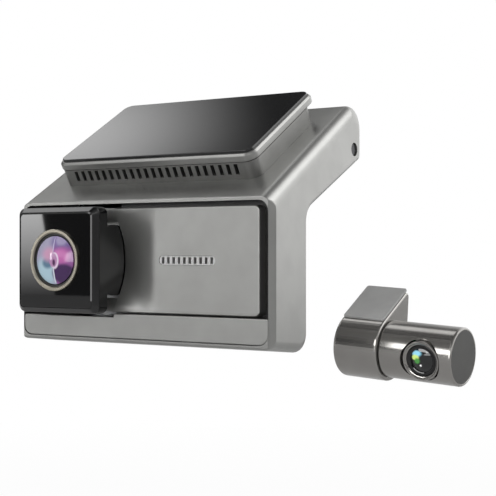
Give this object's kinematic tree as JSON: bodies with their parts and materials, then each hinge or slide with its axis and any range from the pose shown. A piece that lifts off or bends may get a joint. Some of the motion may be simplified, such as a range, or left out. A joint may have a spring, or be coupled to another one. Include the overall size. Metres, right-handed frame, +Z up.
{
  "type": "dash camera",
  "caption": "Two-unit dash camera: an L-shaped grey front unit with a tilting lens pod and a vented windscreen mount, and a barrel camera that turns in its bracket.",
  "frame": {"origin": "centre of the upper face of the plate that sticks to the windscreen", "axes": "+X across the front unit to the right as seen from the front of the car's camera, +Y back towards the driver, +Z up"},
  "size_m": [0.1223, 0.1268, 0.1027],
  "materials": {
    "satin_grey_abs": "satin",
    "dark_grey_abs": "satin",
    "gloss_black": "gloss",
    "gloss_glass": "gloss",
    "pale_metal": "satin",
    "black_abs": "matte",
    "coated_glass": "gloss",
    "dark_metal_paint": "gloss",
    "bright_steel": "satin",
    "rubber_washer": "matte",
    "pad_film": "matte",
    "board_green": "satin",
    "ceramic_patch": "matte",
    "capacitor_sleeve": "gloss"
  },
  "bodies": {
    "mounts": {"mount_tray": "dark_grey_abs", "mount_plate": "gloss_black", "rear_bracket": "dark_metal_paint", "rear_lid": "dark_grey_abs", "rear_pad": "pad_film", "rear_cable_inlet": "dark_grey_abs", "rear_pivot_pin": "bright_steel", "rear_friction_washer": "rubber_washer"},
    "pod": {"pod_body": "gloss_black", "pod_front_glass": "gloss_glass", "lens_ring": "pale_metal", "lens_gap_ring": "black_abs", "lens_front_element": "coated_glass", "lens_barrel": "black_abs", "aperture_disc": "black_abs", "lens_rear_element": "coated_glass", "image_sensor": "black_abs", "sensor_board": "board_green"},
    "rear_camera": {"rear_barrel": "dark_metal_paint", "rear_end_cap": "dark_metal_paint", "rear_lens_bezel": "bright_steel", "rear_lens_holder": "black_abs", "rear_lens_glass": "coated_glass", "rear_inner_lens": "coated_glass", "rear_sensor": "black_abs", "rear_board": "board_green"},
    "card": {"memory_card": "black_abs"},
    "key_1": {"button_1": "rubber_washer"},
    "key_2": {"button_2": "rubber_washer"},
    "key_3": {"button_3": "rubber_washer"},
    "key_4": {"button_4": "rubber_washer"},
    "key_5": {"button_5": "rubber_washer"},
    "housing": {"arm_cover": "satin_grey_abs", "arm_cover_screws": "bright_steel", "axle_pins": "bright_steel", "button_board": "board_green", "camera_jack": "black_abs", "card_slot": "black_abs", "chin_trim": "satin_grey_abs", "display_frame": "bright_steel", "display_panel": "black_abs", "friction_washers": "rubber_washer", "front_panel": "satin_grey_abs", "gps_antenna": "ceramic_patch", "heat_sink": "bright_steel", "housing_shell": "satin_grey_abs", "io_board": "board_green", "main_board": "board_green", "mount_base": "satin_grey_abs", "pod_yoke": "black_abs", "processor": "black_abs", "rear_bezel": "dark_grey_abs", "screen_glass": "gloss_glass", "side_screws": "bright_steel", "speaker_driver": "black_abs", "speaker_grille": "black_abs", "supercapacitors": "capacitor_sleeve", "usb_inlet": "bright_steel", "yoke_screws": "bright_steel"}
  },
  "joints": [
    {"name": "pod_tilt", "type": "hinge", "parent": "housing", "child": "pod", "pos_m": [-0.0279, -0.02299, -0.04511], "axis": [1, 0, 0], "range_deg": [-15, 15]},
    {"name": "housing_release", "type": "slide", "parent": "mounts", "child": "housing", "axis": [0, 0.859, 0.512], "range_m": [0, 0.008]},
    {"name": "card_eject", "type": "slide", "parent": "housing", "child": "card", "axis": [-1, 0, 0], "range_m": [0, 0.012]},
    {"name": "rear_turn", "type": "hinge", "parent": "mounts", "child": "rear_camera", "pos_m": [0.0701, 0.07651, -0.08061], "axis": [0.9955, -0.0783, -0.0541], "range_deg": [-60, 60]},
    {"name": "key_1_press", "type": "slide", "parent": "housing", "child": "key_1", "axis": [0, -1, 0], "range_m": [0, 0.0004], "stiffness_N_per_m": 500},
    {"name": "key_2_press", "type": "slide", "parent": "housing", "child": "key_2", "axis": [0, -1, 0], "range_m": [0, 0.0004], "stiffness_N_per_m": 500},
    {"name": "key_3_press", "type": "slide", "parent": "housing", "child": "key_3", "axis": [0, -1, 0], "range_m": [0, 0.0004], "stiffness_N_per_m": 500},
    {"name": "key_4_press", "type": "slide", "parent": "housing", "child": "key_4", "axis": [0, -1, 0], "range_m": [0, 0.0004], "stiffness_N_per_m": 500},
    {"name": "key_5_press", "type": "slide", "parent": "housing", "child": "key_5", "axis": [0, -1, 0], "range_m": [0, 0.0004], "stiffness_N_per_m": 500}
  ]
}
